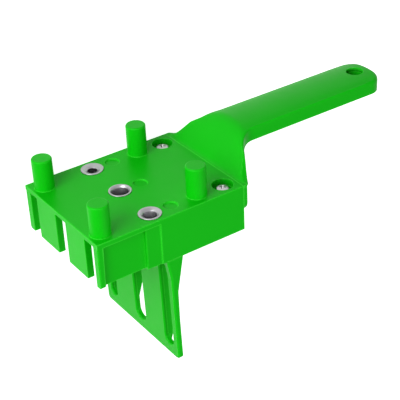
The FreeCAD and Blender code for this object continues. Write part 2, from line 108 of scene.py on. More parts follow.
# Outlines of the handle
NECK_START = 61.4 * MM              # middle bush axis to where the neck's slope would meet the plate
NECK_SLOPE = math.tan(math.radians(53.0))       # rise of the neck's face per length
NECK_LEAN = math.tan(math.radians(54.3))        # rise of its sides per width
NECK_UPPER_LEAN = math.tan(math.radians(24.0))  # the same above their bend
ROOT_BLEND = 2.0 * MM               # blend of slope and plate
CREST_BLEND = 7.3 * MM              # blend of slope and grip
SIDE_BLEND = 1.6 * MM               # blend of sides and top
SIDE_ROOT_BLEND = 6.0 * MM          # blend of sides and flange
SIDE_BEND_BLEND = 2.5 * MM          # blend at the sides' bend
RIM_FOOT = -1.0 * MM                # lower rim of the skirt at the flange
RIM_CLIMB = 0.68                    # rise of the rim per length
RIM_FOOT_BLEND = 0.4 * MM           # blend of that and the climbing rim
RIM_BLEND = 1.9 * MM                # blend of the climbing rim and the grip's
FAN_START = 63.0 * MM               # middle bush axis to where the plan starts to narrow
FAN_END = 78.02 * MM                # the same to where it has the grip's width
FAN_START_ROUND = 3.0 * MM          # radii of the plan's corners at both places
FAN_END_ROUND = 15.0 * MM
END_BOW = 0.4 * MM                  # rise of the bowed end of the grip
END_CORNER = 10.5 * MM              # radius of the plan's corners there
FLANGE_EDGE = 0.35 * MM             # radius of the skin's upper edge at the flange
EDGE_GROWS = (62.0 * MM, 72.0 * MM)     # the radius grows to the grip's between these places
END_GROWS = (16.0 * MM, 3.0 * MM)       # and to the end's between these distances from the end
INNER_EDGE = 0.4 * MM               # radius of the same edge inside
SLANT_STEP = 0.05 * MM              # step over which slopes are measured

# Studio
LAMPS = (("key", (-0.74, 0.50, 0.26), 0.6),     # name, place and width
         ("low", (-0.60, 0.12, 0.74), 0.8),
         ("side", (0.20, -0.10, 0.95), 0.6))
LAMP_TARGET = (0.05, -0.02, 0.0)
FLOOR_HALF = 4.0                    # half the width of the floor
EYE = (-0.28497, 0.35127, 0.50948)  # camera's place
EYE_TARGET = (-0.00121, 0.03542, 0.08555)
EYE_ROLL = math.radians(-2.7249)    # its turn about the line of sight
SENSOR = 36.0                       # width of the camera's sensor in millimetres
WHITE = (1.0, 1.0, 1.0, 1.0)


# Sizes and colours

def length(name, description, value):
    """Property for a length, given in millimetres."""
    return FloatProperty(name=name, description=description, default=value * MM, min=0.0,
                         precision=5, subtype="DISTANCE", unit="LENGTH")


def colour(name, description, value):
    """Property for a colour in linear values."""
    return FloatVectorProperty(name=name, description=description, default=value, size=3,
                               min=0.0, max=1.0, subtype="COLOR")


class BodySizes(bpy.types.PropertyGroup):
    """Edges of the body moulding and of the fence."""
    body_edge: length("Body edge", "Width of the eased edges of the body", 0.35)
    body_least: length("Body, least", "Shortest edge of the body that is eased", 0.15)
    fence_edge: length("Fence edge", "Width of the eased edges of the fence", 0.25)
    fence_least: length("Fence, least", "Shortest edge of the fence that is eased", 0.3)
    sharp: FloatProperty(name="Sharp from", description="Edges with a larger turn are eased",
                         default=math.radians(38.0), min=0.0, max=math.pi, subtype="ANGLE", unit="ROTATION")


class HandleSizes(bpy.types.PropertyGroup):
    """Form of the handle moulding."""
    grip_top: length("Grip top", "Grip top above the plate", 21.4)
    grip_width: length("Grip width", "Width of the grip", 32.0)
    grip_crown: length("Crown", "Rise of the grip top over its edges", 2.1)
    grip_rim: length("Rim", "Rim of the grip above the plate", 10.5)
    wall: length("Wall", "Wall of the moulding", 2.8)
    edge_round: length("Edge round", "Radius where the sides turn into the top", 1.2)
    end_round: length("End round", "The same at the end of the grip", 3.2)
    neck_foot: length("Neck foot", "Middle to where a leaning side would meet the plate", 35.7)
    neck_bend: length("Neck bend", "Height at which the leaning sides bend in", 15.7)
    end: length("End", "Middle bush axis to the end of the handle", 193.4)
    hole: length("Hanging hole", "Diameter of the hanging hole", 11.0)
    hole_inset: length("Hole inset", "End of the handle to the hole's axis", 11.7)


class SteelSizes(bpy.types.PropertyGroup):
    """Form of the drill bushes and screws."""
    bush_diameter: length("Bush diameter", "Outer diameter of a bush", 14.0)
    bush_length: length("Bush length", "Plate top to the lower end of a bush", 18.0)
    bush_stand: length("Bush stand", "Bush end above the plate", 0.5)
    bush_rim: length("Rim", "Flat rim round the lead-in of a bush", 0.9)
    bush_lead: length("Lead-in", "Depth of the conical lead-in", 1.3)
    head_diameter: length("Head diameter", "Screw head diameter", 8.4)
    head_height: length("Head height", "Screw head height", 2.6)
    head_seat: length("Head seat", "Plate top to the seat of the screw head", 4.2)
    shank: length("Shank", "Screw diameter", 3.9)
    shank_length: length("Shank length", "Length under the head", 16.0)
    thread_pitch: length("Thread pitch", "Rise of the thread in one turn", 1.4)


class Colours(bpy.types.PropertyGroup):
    """Colours of the finishes."""
    plastic: colour("Plastic", "Moulded plastic", (0.003, 0.510, 0.004))
    plastic_deep: colour("Plastic, deep", "Plastic in its slightly darker patches", (0.002, 0.465, 0.003))
    # Painted highlight: the bright green that edges are painted in, standing in for light caught on their
    # rounding.
    plastic_edge_highlight: colour("Plastic, edges", "Plastic where its edges are rubbed", (0.055, 0.800, 0.045))
    bush: colour("Bush steel", "Hardened steel of the bushes", (0.36, 0.35, 0.37))
    screw: colour("Screw steel", "Zinc-plated screws", (0.42, 0.42, 0.42))
    floor: colour("Floor", "Pale floor", (0.86, 0.86, 0.86))


class Studio(bpy.types.PropertyGroup):
    """Light on the jig."""
    key: FloatProperty(name="Key", description="Power of the lamp in front and over the plate",
                       default=6.6, min=0.0, unit="POWER")
    low: FloatProperty(name="Low", description="Power of the low lamp in front, to the right",
                       default=3.6, min=0.0, unit="POWER")
    side: FloatProperty(name="Side", description="Power of the lamp above", default=3.6, min=0.0,
                        unit="POWER")
    fill: FloatProperty(name="Fill", description="Strength of the light from all round", default=0.12,
                        min=0.0)
    floor_glow: FloatProperty(name="Floor glow", description="White added to the floor as the camera "
                              "sees it", default=0.80, min=0.0)
    lens: FloatProperty(name="Lens", description="Focal length for a 36 mm sensor, in millimetres",
                        default=104.31, min=1.0)
    turn: IntProperty(name="Facets", description="Facets round a turned piece", default=96, min=12)


GROUPS = (BodySizes, HandleSizes, SteelSizes, Colours, Studio)


def sizes(name):
    """One of the property groups, by the name that it has on the scene."""
    return getattr(bpy.context.scene, "jig_" + name)


# Meshes from grids of points

def grid_quads(rows, columns, close_rows=False, close_columns=False, first=0):
    """Quads between neighbouring points of a grid, numbered row by row from first."""
    i = np.arange(rows if close_rows else rows - 1)
    j = np.arange(columns if close_columns else columns - 1)
    i, j = (index.ravel() for index in np.meshgrid(i, j, indexing="ij"))
    below, right = (i + 1) % rows, (j + 1) % columns
    return first + np.stack([i * columns + j, i * columns + right,
                             below * columns + right, below * columns + j], axis=1)


def add_piece(name, sheets):
    """Object from point grids; a sheet is (points, close_rows, close_columns, extra faces)."""
    mesh = bpy.data.meshes.new(name)
    points, faces, first = [], [], 0
    for grid, close_rows, close_columns, extra in sheets:
        rows, columns = grid.shape[:2]
        points.append(grid.reshape(-1, 3))
        faces.append(grid_quads(rows, columns, close_rows, close_columns, first))
        if extra is not None:
            faces.append(np.asarray(extra) + first)
        first += rows * columns
    mesh.from_pydata(np.concatenate(points), [], np.concatenate(faces))
    work = bmesh.new()
    work.from_mesh(mesh)
    bmesh.ops.remove_doubles(work, verts=work.verts, dist=PIECE_WELD)
    bmesh.ops.dissolve_degenerate(work, edges=work.edges, dist=SLIVER)
    bmesh.ops.recalc_face_normals(work, faces=work.faces)
    work.to_mesh(mesh)
    work.free()
    return add_object(name, mesh)


def add_object(name, mesh):
    """Object for a mesh, smooth except across edges that turn by more than the smooth turn."""
    mesh.validate()
    thing = bpy.data.objects.new(name, mesh)
    bpy.context.scene.collection.objects.link(thing)
    mesh.shade_smooth()
    mesh.set_sharp_from_angle(angle=SMOOTH_TURN)
    return thing


def capped(grid):
    """Closes both ends of a tube: the rows are rings, and each end row shrinks to its middle."""
    ends = [np.broadcast_to(grid[k].mean(axis=0), grid[k].shape)[None] for k in (0, -1)]
    return np.concatenate([ends[0], grid, ends[1]])


def arc(centre, radius, start, end, count=6):
    """Points of an arc in a plane: centre + radius (cos a, sin a), with a from start to end degrees."""
    a = np.radians(np.linspace(start, end, count))
    return np.stack([centre[0] + radius * np.cos(a), centre[1] + radius * np.sin(a)], axis=1)


def turned(profile, along, across, facets):
    """Profile of (radius, height) carried round an axis: x = along + r cos a, y = h, z = across + r sin a."""
    a = np.linspace(0, 2 * math.pi, facets, endpoint=False)
    r, h = profile[:, 0, None], profile[:, 1, None]
    return np.stack([along + r * np.cos(a), np.broadcast_to(h, (len(profile), facets)),
                     across + r * np.sin(a)], axis=2)


def slab(low, high, radius, steps=4):
    """Box with rounded edges: each point is a core corner plus radius times a direction of a ball."""
    low, high = np.array(low), np.array(high)
    quarter = np.linspace(0, math.pi / 2, steps)
    a = np.concatenate([quarter + k * math.pi / 2 for k in range(4)])
    signs_a = np.repeat([(1, 1), (-1, 1), (-1, -1), (1, -1)], steps, axis=0)
    b = np.concatenate([quarter - math.pi / 2, quarter])
    sign_b = np.repeat([-1, 1], steps)
    b, a = np.meshgrid(b, a, indexing="ij")
    direction = np.stack([np.cos(b) * np.cos(a), np.cos(b) * np.sin(a), np.sin(b)], axis=2)
    sign = np.stack([np.broadcast_to(signs_a[:, 0], a.shape), np.broadcast_to(signs_a[:, 1], a.shape),
                     np.broadcast_to(sign_b[:, None], a.shape)], axis=2)
    grid = (low + high) / 2 + sign * ((high - low) / 2 - radius) + direction * radius
    return capped(grid)


def smooth_least(a, b, blend):
    """Smooth minimum: the lower of a and b, less (blend - |a - b|)^2 / (4 blend) where they are close."""
    near = np.maximum(blend - np.abs(a - b), 0.0)
    return np.minimum(a, b) - near ** 2 / (4 * blend)


def smooth_most(a, b, blend):
    """Smooth maximum, the mirror image of smooth_least."""
    return -smooth_least(-a, -b, blend)


def rounded_line(corners, step):
    """Straight runs joined by tangent arcs through (x, y, radius) corners, and the unit normals
    on the left of the way: an arc starts radius * tan(turn / 2) before its corner."""
    spots = np.array([corner[:2] for corner in corners])
    runs = np.diff(spots, axis=0)
    spans = np.linalg.norm(runs, axis=1)
    ways = runs / spans[:, None]
    points, normals = [], []
    start = spots[0]
    for k in range(len(runs)):
        end = spots[k + 1]
        radius = corners[k + 1][2]
        if radius > 0:
            aside = ways[k][0] * ways[k + 1][1] - ways[k][1] * ways[k + 1][0]
            turn = math.atan2(aside, ways[k] @ ways[k + 1])
            end = spots[k + 1] - ways[k] * radius * math.tan(abs(turn) / 2)
        left = np.array([-ways[k][1], ways[k][0]])
        count = max(2, int(np.linalg.norm(end - start) / step) + 1)
        share = np.linspace(0, 1, count)[:, None]
        points.append(start + (end - start) * share)
        normals.append(np.repeat(left[None], count, axis=0))
        start = end
        if radius > 0:
            count = max(4, int(abs(turn) * radius / step) + 2)
            a = np.linspace(0, turn, count)[1:-1, None]
            turned_left = left * np.cos(a) + np.array([-left[1], left[0]]) * np.sin(a)
            centre = end + left * radius * np.sign(turn)
            points.append(centre - turned_left * radius * np.sign(turn))
            normals.append(turned_left)
            start = spots[k + 1] + ways[k + 1] * radius * math.tan(abs(turn) / 2)
    return np.concatenate(points), np.concatenate(normals)


# Finishes

class Wire:
    """An output of a shader node; arithmetic on it adds Math nodes."""

    def __init__(self, nodes, socket):
        self.nodes = nodes
        self.socket = socket

    def __add__(self, other):
        return self.nodes.math("ADD", self, other)

    def __sub__(self, other):
        return self.nodes.math("SUBTRACT", self, other)

    def __rsub__(self, other):
        return self.nodes.math("SUBTRACT", other, self)

    def __mul__(self, other):
        return self.nodes.math("MULTIPLY", self, other)

    __radd__ = __add__
    __rmul__ = __mul__


class Nodes:
    """A tree of shader nodes, of which node() adds one."""

    def __init__(self, tree):
        self.tree = tree
        tree.nodes.clear()

    def put(self, socket, value):
        """Links a wire to a socket, or sets the socket's own value."""
        if isinstance(value, Wire):
            self.tree.links.new(value.socket, socket)
        elif value is not None:
            socket.default_value = value

    def node(self, kind, settings=None, *values, output=0, **named):
        """Node of a kind, its settings made first, then its inputs, in order or by name."""
        node = self.tree.nodes.new("ShaderNode" + kind)
        for key, value in (settings or {}).items():
            setattr(node, key, value)
        for socket, value in zip(node.inputs, values):
            self.put(socket, value)
        for key, value in named.items():
            self.put(node.inputs[key.replace("_", " ")], value)
        return Wire(self, node.outputs[output])

    def math(self, operation, *values):
        """Math node of an operation on these values."""
        return self.node("Math", {"operation": operation}, *values)

    def vector(self, operation, *values, output="Vector"):
        """Vector Math node of an operation on these values."""
        return self.node("VectorMath", {"operation": operation}, *values, output=output)

    def mix_colours(self, share, first, second):
        """Colour between two colours: the first where the share is 0, the second where it is 1."""
        node = self.tree.nodes.new("ShaderNodeMix")
        node.data_type = "RGBA"
        share_input, first_input, second_input, result = 0, 6, 7, 2
        self.put(node.inputs[share_input], share)
        for place, tint in ((first_input, first), (second_input, second)):
            self.put(node.inputs[place], tint if isinstance(tint, Wire) else (*tint, 1.0))
        return Wire(self, node.outputs[result])

    def seen(self):
        """1 for what the camera, reflections and clear materials see, and 0 for light on objects."""
        rays = ("Is Camera Ray", "Is Glossy Ray", "Is Transmission Ray")
        camera, glossy, through = (self.node("LightPath", output=ray) for ray in rays)
        return camera + glossy + through

    def end(self, kind, shader):
        """Ends the tree in an output node of a kind."""
        node = self.tree.nodes.new("ShaderNode" + kind)
        self.put(node.inputs["Surface"], shader)


class Finish(Nodes):
    """A procedural material on object coordinates, whose surface is a Principled BSDF."""

    def __init__(self, name):
        self.material = bpy.data.materials.new(name)
        self.material.use_nodes = True
        super().__init__(self.material.node_tree)
        self.place = self.node("TexCoord", output="Object")

    def noise(self, size, detail, seed=0.0):
        """Noise between 0 and 1 with patches of about that size in metres."""
        return self.node("TexNoise", {"noise_dimensions": "4D"}, Vector=self.place, W=seed,
                         Scale=1.0 / size, Detail=detail)

    def bump(self, height, distance, strength, under=None):
        """Normal from a height between 0 and 1, with the distance as its relief in metres."""
        return self.node("Bump", None, Strength=strength, Distance=distance, Height=height, Normal=under)

    def edges(self, radius, gain=8.0):
        """0 on flat faces, rising to 1 on edges: 1 less the cosine between the normal and the one
        averaged over that radius, times the gain."""
        averaged = self.node("Bevel", {"samples": 6}, Radius=radius)
        normal = self.node("NewGeometry", output="Normal")
        cosine = self.vector("DOT_PRODUCT", averaged, normal, output="Value")
        return self.math("MINIMUM", (1.0 - cosine) * gain, 1.0)

    def surface(self, **inputs):
        """Ends the material in a Principled BSDF with these inputs."""
        self.end("OutputMaterial", self.node("BsdfPrincipled", None, **inputs))
        return self.material


def moulded_plastic(name, seed):
    """Semi-gloss moulded plastic: fine grain, faint sink waves and patches, a little uneven gloss,
    and a painted highlight that lightens its edges and inner corners."""
    tints = sizes("colours")
    finish = Finish(name)
    patches = finish.noise(30.0 * MM, detail=3.0, seed=seed)
    grain = finish.noise(0.45 * MM, detail=1.0, seed=seed + 5.0)
    waves = finish.noise(18.0 * MM, detail=1.0, seed=seed + 9.0)
    rubbed = finish.noise(6.0 * MM, detail=4.0, seed=seed + 2.0)
    # Painted highlight: edges and inner corners are lightened towards a bright green, standing in for the
    # light that their rounding catches.
    edge_highlight = finish.edges(1.0 * MM) * 0.85
    tint = finish.mix_colours(patches, tints.plastic_deep, tints.plastic)
    tint = finish.mix_colours(edge_highlight, tint, tints.plastic_edge_highlight)
    relief = finish.bump(waves, 0.25 * MM, strength=0.6)
    relief = finish.bump(grain, 0.012 * MM, strength=0.6, under=relief)
    return finish.surface(Base_Color=tint, Roughness=0.33 + rubbed * 0.14, Normal=relief,
                          IOR=1.5, Specular_IOR_Level=0.09)


def turned_steel(name, tint, across):
    """Turned steel: its polish is slightly uneven, and fine rings round the bush's own axis rise
    and fall with the sine of the distance from it."""
    ring = 0.18 * MM
    finish = Finish(name)
    centred = finish.vector("SUBTRACT", finish.place, (0.0, 0.0, across))
    flat = finish.vector("MULTIPLY", centred, (1.0, 0.0, 1.0))
    radius = finish.vector("LENGTH", flat, output="Value")
    rings = finish.math("SINE", radius * (2 * math.pi / ring))
    polish = finish.noise(1.5 * MM, detail=3.0)
    dull = [0.86 * value for value in tint]
    shade = finish.mix_colours(polish, dull, tint)
    relief = finish.bump(rings, 0.003 * MM, strength=0.5)
    return finish.surface(Base_Color=shade, Metallic=1.0, Roughness=0.26 + polish * 0.16, Normal=relief)


def plated_steel(name, tint):
    """Bright zinc plate with small dull flecks."""
    finish = Finish(name)
    flecks = finish.noise(0.9 * MM, detail=4.0)
    dull = [0.80 * value for value in tint]
    shade = finish.mix_colours(flecks, dull, tint)
    relief = finish.bump(flecks, 0.02 * MM, strength=0.5)
    return finish.surface(Base_Color=shade, Metallic=1.0, Roughness=0.22 + flecks * 0.20, Normal=relief)


def dress(thing, material, body):
    """Gives a piece its one material and its body."""
    thing.data.materials.clear()
    thing.data.materials.append(material)
    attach(thing, body)


# Pieces

def keep_result(thing):
    """Makes what a piece's modifiers give its mesh, and takes them off."""
    bpy.context.view_layer.update()
    seen = thing.evaluated_get(bpy.context.evaluated_depsgraph_get())
    mesh = bpy.data.meshes.new_from_object(seen)
    thing.modifiers.clear()
    old, thing.data = thing.data, mesh
    bpy.data.meshes.remove(old)


def even_normals(mesh, limit):
    """Shades a mesh: each corner of a face gets the mean normal of the faces round its vertex that
    lean from its own face by less than the limit, each face counted by its area."""
    vertex = np.empty(len(mesh.loops), dtype=np.int32)
    mesh.loops.foreach_get("vertex_index", vertex)
    corners = np.empty(len(mesh.polygons), dtype=np.int32)
    mesh.polygons.foreach_get("loop_total", corners)
    area = np.empty(len(mesh.polygons))
    mesh.polygons.foreach_get("area", area)
    normal = np.empty(3 * len(mesh.polygons))
    mesh.polygons.foreach_get("normal", normal)
    face = np.repeat(np.arange(len(corners)), corners)
    own = normal.reshape(-1, 3)[face]
    order = np.argsort(vertex, kind="stable")
    around = np.bincount(vertex)
    start = np.cumsum(around) - around
    mates = around[vertex]
    first = np.repeat(np.arange(len(vertex)), mates)
    step = np.arange(len(first)) - np.repeat(np.cumsum(mates) - mates, mates)
    second = order[start[vertex[first]] + step]
    near = (own[first] * own[second]).sum(axis=1) > math.cos(limit)
    share = own[second] * (near * area[face[second]])[:, None]
    total = np.stack([np.bincount(first, share[:, axis], len(vertex)) for axis in range(3)], axis=1)
    length = np.linalg.norm(total, axis=1, keepdims=True)
    total = np.where(length > NO_LENGTH, total / np.maximum(length, NO_LENGTH), own)
    mesh.normals_split_custom_set(total.tolist())


def eased_copy(name, node, width, least):
    """Copy of a CAD solid whose loose triangles are merged into whole faces and whose sharp edges
    are rolled off: at an edge, each face stops short by the width and three strips turn from one to
    the other. Edges that meet one shorter than least stay sharp, as it leaves no room for them."""
    form = sizes("body")
    work = bmesh.new()
    work.from_mesh(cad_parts[node].data)
    bmesh.ops.remove_doubles(work, verts=work.verts, dist=WELD)
    bmesh.ops.dissolve_limit(work, angle_limit=FLAT_TURN, verts=work.verts, edges=work.edges)
    tight = {vertex for edge in work.edges for vertex in edge.verts
             if edge.calc_length() < least and edge.calc_face_angle(0) > SLIGHT_TURN}
    eased = work.edges.layers.float.new("bevel_weight_edge")
    for edge in work.edges:
        room = not tight.intersection(edge.verts)
        edge[eased] = float(room and edge.calc_face_angle(0) > form.sharp)
    mesh = bpy.data.meshes.new(name)
    work.to_mesh(mesh)
    work.free()
    thing = add_object(name, mesh)
    ease = thing.modifiers.new("Eased edges", "BEVEL")
    ease.width = width
    ease.segments = EDGE_STRIPS
    ease.limit_method = "WEIGHT"
    ease.use_clamp_overlap = False
    keep_result(thing)
    even_normals(thing.data, form.sharp)
    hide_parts(node)
    return thing


class JIG_OT_body(bpy.types.Operator):
    """Ease the edges of the body moulding"""
    bl_idname = "jig.body"
    bl_label = "Body moulding"

    def execute(self, context):
        form = sizes("body")
        body = eased_copy("body_moulding", "jig_body", form.body_edge, form.body_least)
        dress(body, moulded_plastic("body plastic", 1.0), "jig")
        return {"FINISHED"}


def fence_rib(left, right, foot, deep, top):
    """Rib behind the fence beside a slot. Its outline, full depth below the shoulder, then a slant
    and a rounded run-out into the plate, is carried across from left to right."""
    low = FENCE_LOW + foot
    back = FENCE_BACK + (FENCE_KNEE - low) * math.tan(FENCE_LEAN)
    tail = low - RIB_TAIL
    line, _ = rounded_line([(RIB_ROOT, top, 0), (back + deep, top, RIB_CREST),
                            (back + deep, low + deep / RIB_SLANT, RIB_BEND), (back, low, RIB_RUNOUT),
                            (back - RIB_TAIL_SINK[0], tail, 0), (back - RIB_TAIL_SINK[1], tail, 0),
                            (RIB_ROOT, top, 0)], step=1.0 * MM)
    line = line[:-1]
    rows = [np.stack([line[:, 0], line[:, 1], np.full(len(line), across)], axis=1)
            for across in (left, right)]
    return capped(np.array(rows)), False, True, None


class JIG_OT_fence(bpy.types.Operator):
    """Ease the edges of the sliding fence"""
    bl_idname = "jig.fence"
    bl_label = "Sliding fence"

    def execute(self, context):
        form = sizes("body")
        fence = eased_copy("fence_moulding", "sliding_fence", form.fence_edge, form.fence_least)
        dress(fence, moulded_plastic("fence plastic", 2.0), "fence")
        sheets = []
        for (_, across, dowel), pair in zip(BUSHES, RIBS):
            wall = (dowel + SLOT_ROOM) / 2 - RIB_PROUD
            for side, (thick, foot, deep, top) in zip((-1, 1), pair):
                left, right = sorted((across + side * wall, across + side * wall + side * thick))
                sheets.append(fence_rib(left, right, foot, deep, top))
        ribs = add_piece("fence_ribs", sheets)
        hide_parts("sliding_fence")
        dress(ribs, fence.data.materials[0], "fence")
        return {"FINISHED"}


def neck_side(across, form):
    """Front view of the neck: a side leans in from its foot, bends in further at the shoulder, and
    runs out level into the flange below."""
    lean = (form.neck_foot - np.abs(across)) * NECK_LEAN
    bend_half = form.neck_foot - form.neck_bend / NECK_LEAN
    fall = form.neck_bend + (bend_half - np.abs(across)) * NECK_UPPER_LEAN
    return smooth_least(smooth_most(lean, 0.0, SIDE_ROOT_BLEND), fall, SIDE_BEND_BLEND)


def handle_height(along, across, form):
    """Top of the handle over the plate: the neck's slope, or the crowned grip where that is lower,
    blended into the plate below, and cut off by the neck's sides."""
    slope = (along - NECK_START) * NECK_SLOPE
    crown = form.grip_top - form.grip_crown * (2 * across / form.grip_width) ** 2
    top = smooth_least(smooth_most(slope, 0.0, ROOT_BLEND), crown, CREST_BLEND)
    return smooth_least(top, neck_side(across, form), SIDE_BLEND)


def handle_rim(along, form):
    """Lower rim of the skirt: it climbs from the flange and levels out along the grip."""
    climb = RIM_FOOT + (along - FLANGE_BACK) * RIM_CLIMB
    return smooth_least(smooth_most(climb, RIM_FOOT, RIM_FOOT_BLEND), form.grip_rim, RIM_BLEND)


def edge_radius(along, form):
    """Radius of the skin's upper edge: small at the flange, full along the grip and large at its end,
    with an even change in between."""
    places = (BODY_END, *EDGE_GROWS, *(form.end - distance for distance in END_GROWS))
    radii = (FLANGE_EDGE, FLANGE_EDGE, form.edge_round, form.edge_round, form.end_round)
    return np.interp(along, places, radii)


def handle_skin(form):
    """Shell of the handle. Rows follow the right half of the plan from the flange to the end. In a
    row the outer side rises from the rim, turns over the edge and crosses the crowned top to the
    other rim, and the inner side comes back a wall's thickness inside it."""
    half = form.grip_width / 2
    corners = [(BODY_END, BODY_HALF, 0), (FAN_START, BODY_HALF, FAN_START_ROUND),
               (FAN_END, half, FAN_END_ROUND), (form.end - END_BOW, half, END_CORNER),
               (form.end, 0.0, 0)]
    wall_points, bend_points, cover_points = 9, 7, 22
    line, outward = rounded_line(corners, step=0.8 * MM)
    rise = np.linspace(0, 1, wall_points)[:-1]
    turn = np.linspace(0, math.pi / 2, bend_points)
    share = np.linspace(0, 1, cover_points)[1:]
    radius = edge_radius(line[:, 0], form)
    sides = []
    for inset, edge in ((0.0, radius), (form.wall, np.full(len(line), INNER_EDGE))):
        foot = line - outward * inset
        crest = foot - outward * edge[:, None]
        top = handle_height(crest[:, 0], crest[:, 1], form)
        thick = inset * surface_slant(crest[:, 0], crest[:, 1], form)
        low = np.minimum(handle_rim(line[:, 0], form), top - thick - edge)
        wall_y = low[:, None] + (top - thick - edge - low)[:, None] * rise
        wall = np.stack([np.broadcast_to(foot[:, :1], wall_y.shape), wall_y,
                         np.broadcast_to(foot[:, 1:], wall_y.shape)], axis=2)
        bend = foot[:, None] - outward[:, None] * (edge[:, None] * (1 - np.cos(turn)))[..., None]
        bend_y = (top - thick - edge)[:, None] + edge[:, None] * np.sin(turn)
        bend = np.stack([bend[..., 0], bend_y, bend[..., 1]], axis=2)
        across = crest[:, 1:] * (1 - share)
        along = np.broadcast_to(crest[:, :1], across.shape)
        cover_y = handle_height(along, across, form) - inset * surface_slant(along, across, form)
        cover = np.stack([along, cover_y, across], axis=2)
        right = np.concatenate([wall, bend, cover], axis=1)
        left = right[:, -2::-1] * np.array([1.0, 1.0, -1.0])
        sides.append(np.concatenate([right, left], axis=1))
    outer, inner = sides
    count = outer.shape[1]
    ring = np.concatenate([outer, inner[:, ::-1]], axis=1)
    k = np.arange(count - 1)
    front = np.stack([k, k + 1, 2 * count - 2 - k, 2 * count - 1 - k], axis=1)
    return ring, False, True, front


def surface_slant(along, across, form):
    """Length of wall measured straight down per unit of thickness: root of 1 + slope squared."""
    d = SLANT_STEP
    ahead = (handle_height(along + d, across, form) - handle_height(along - d, across, form)) / (2 * d)
    aside = (handle_height(along, across + d, form) - handle_height(along, across - d, form)) / (2 * d)
    return np.sqrt(1 + ahead ** 2 + aside ** 2)


def web(start, end, thickness, low, form, count=24):
    """Upright rib between two plan points: its lower edge follows low(along, across), and its upper
    edge runs inside the moulding's wall."""
    start, end = np.array(start), np.array(end)
    way = (end - start) / np.linalg.norm(end - start)
    side = np.array([-way[1], way[0]]) * thickness / 2
    line = start + (end - start) * np.linspace(0, 1, count)[:, None]
    under = low(line[:, 0], line[:, 1])
    over = handle_height(line[:, 0], line[:, 1], form) - form.wall / 2
    least = 0.1 * MM
    over = np.maximum(over, under + least)
    ring = [(line + side, under), (line + side, over), (line - side, over), (line - side, under)]
    grid = np.stack([np.stack([spot[:, 0], height, spot[:, 1]], axis=1) for spot, height in ring], axis=1)
    return capped(grid), False, True, None


def flange_plate(form):
    """Flange between handle and body, with rounded lower corners: rings round its outline go from
    the middle of one face over the rounded edge to the middle of the other."""
    inside, nick = 0.05 * MM, 0.1 * MM
    half, deep, corner, edge = BODY_HALF - inside, 18.3 * MM, 6.0 * MM, 0.3 * MM
    corners = [(0.0, -inside, 0), (half, -inside, nick), (half, -deep, corner),
               (-half, -deep, corner), (-half, -inside, nick), (0.0, -inside, 0)]
    outline, outward = rounded_line(corners, step=2.0 * MM)
    turn = np.linspace(0, math.pi / 2, num=5)
    rings = []
    for face, sign, angles in ((BODY_END + edge, -1, turn[::-1]), (FLANGE_BACK - edge, 1, turn)):
        for a in angles:
            spot = outline - outward * edge * (1 - math.cos(a))
            rings.append(np.stack([np.full(len(spot), face + sign * edge * math.sin(a)), spot[:, 1],
                                   spot[:, 0]], axis=1))
    return capped(np.array(rings)), False, True, None


def handle_inside(form):
    """Solids of the handle moulding besides its skin: the flange, the grip's ribs, the gussets under
    the neck, the hanging hole's sleeve, and the foot with a post round each screw."""
    rib_lift, rib_start, rib_pitch, rib_count, rib_thick = 1.2 * MM, 24.0 * MM, 21.0 * MM, 5, 2.0 * MM
    gusset_thick, gusset_apart, gusset_low, gusset_start = 2.2 * MM, 11.0 * MM, -15.0 * MM, 60.9 * MM
    rooted, sleeve_wall, sleeve_room, sleeve_cover = 0.1 * MM, 2.6 * MM, 6.5 * MM, 1.4 * MM
    low = form.grip_rim + rib_lift
    first = FLANGE_BACK + rib_start
    gusset_end = first + rib_thick / 2
    hole = form.end - form.hole_inset
    sheets = [flange_plate(form)]

    def level(along, across):
        return np.full(along.shape, low)

    def gusset(along, across):
        share = (along - gusset_start) / (gusset_end - gusset_start)
        return gusset_low + (low - gusset_low) * share

    inner = form.grip_width / 2 - form.wall / 2
    for step in range(rib_count):
        along = first + step * rib_pitch
        sheets.append(web((along, -inner), (along, inner), rib_thick, level, form))
    for start, end in ((first, hole - sleeve_room), (hole + sleeve_room, form.end - form.wall / 2)):
        sheets.append(web((start, 0.0), (end, 0.0), rib_thick, level, form))
    for across in (-gusset_apart, 0.0, gusset_apart):
        sheets.append(web((gusset_start + rooted, across), (gusset_end, across), gusset_thick,
                          gusset, form, count=40))
    bore, outer, high = form.hole / 2, form.hole / 2 + sleeve_wall, form.grip_top - sleeve_cover
    sleeve = np.array([(bore, low), (outer, low), (outer, high), (bore, high)])
    sheets.append((turned(sleeve, hole, 0.0, sizes("studio").turn), True, True, None))

    foot_start, foot_end, foot_half, foot_round = 42.5 * MM, 61.0 * MM, 38.5 * MM, 0.4 * MM
    foot_low, foot_high = -9.7 * MM, -6.7 * MM
    foot = slab((foot_start, foot_low, -foot_half), (foot_end, foot_high, foot_half), foot_round)
    sheets.append((foot, False, True, None))
    post_radius, post_low, post_edge = 4.3 * MM, -28.0 * MM, 0.4 * MM
    hole_radius, hole_high = 1.98 * MM, -23.0 * MM
    post = np.array([(0.0, foot_low), (post_radius, foot_low), (post_radius, post_low + post_edge),
                     (post_radius - post_edge, post_low), (hole_radius, post_low),
                     (hole_radius, hole_high), (0.0, hole_high)])
    for _, across in SCREWS:
        sheets.append((turned(post, SCREW_ALONG, across, facets=48), False, True, None))
    return sheets


def cut_away(thing, cutters):
    """Takes cutter solids out of a piece, keeps the result as its mesh and removes the cutters."""
    for cutter in cutters:
        change = thing.modifiers.new("Cut", "BOOLEAN")
        change.object = cutter
        change.operation = "DIFFERENCE"
        change.solver = "EXACT"
    keep_result(thing)
    for cutter in cutters:
        bpy.data.meshes.remove(cutter.data)


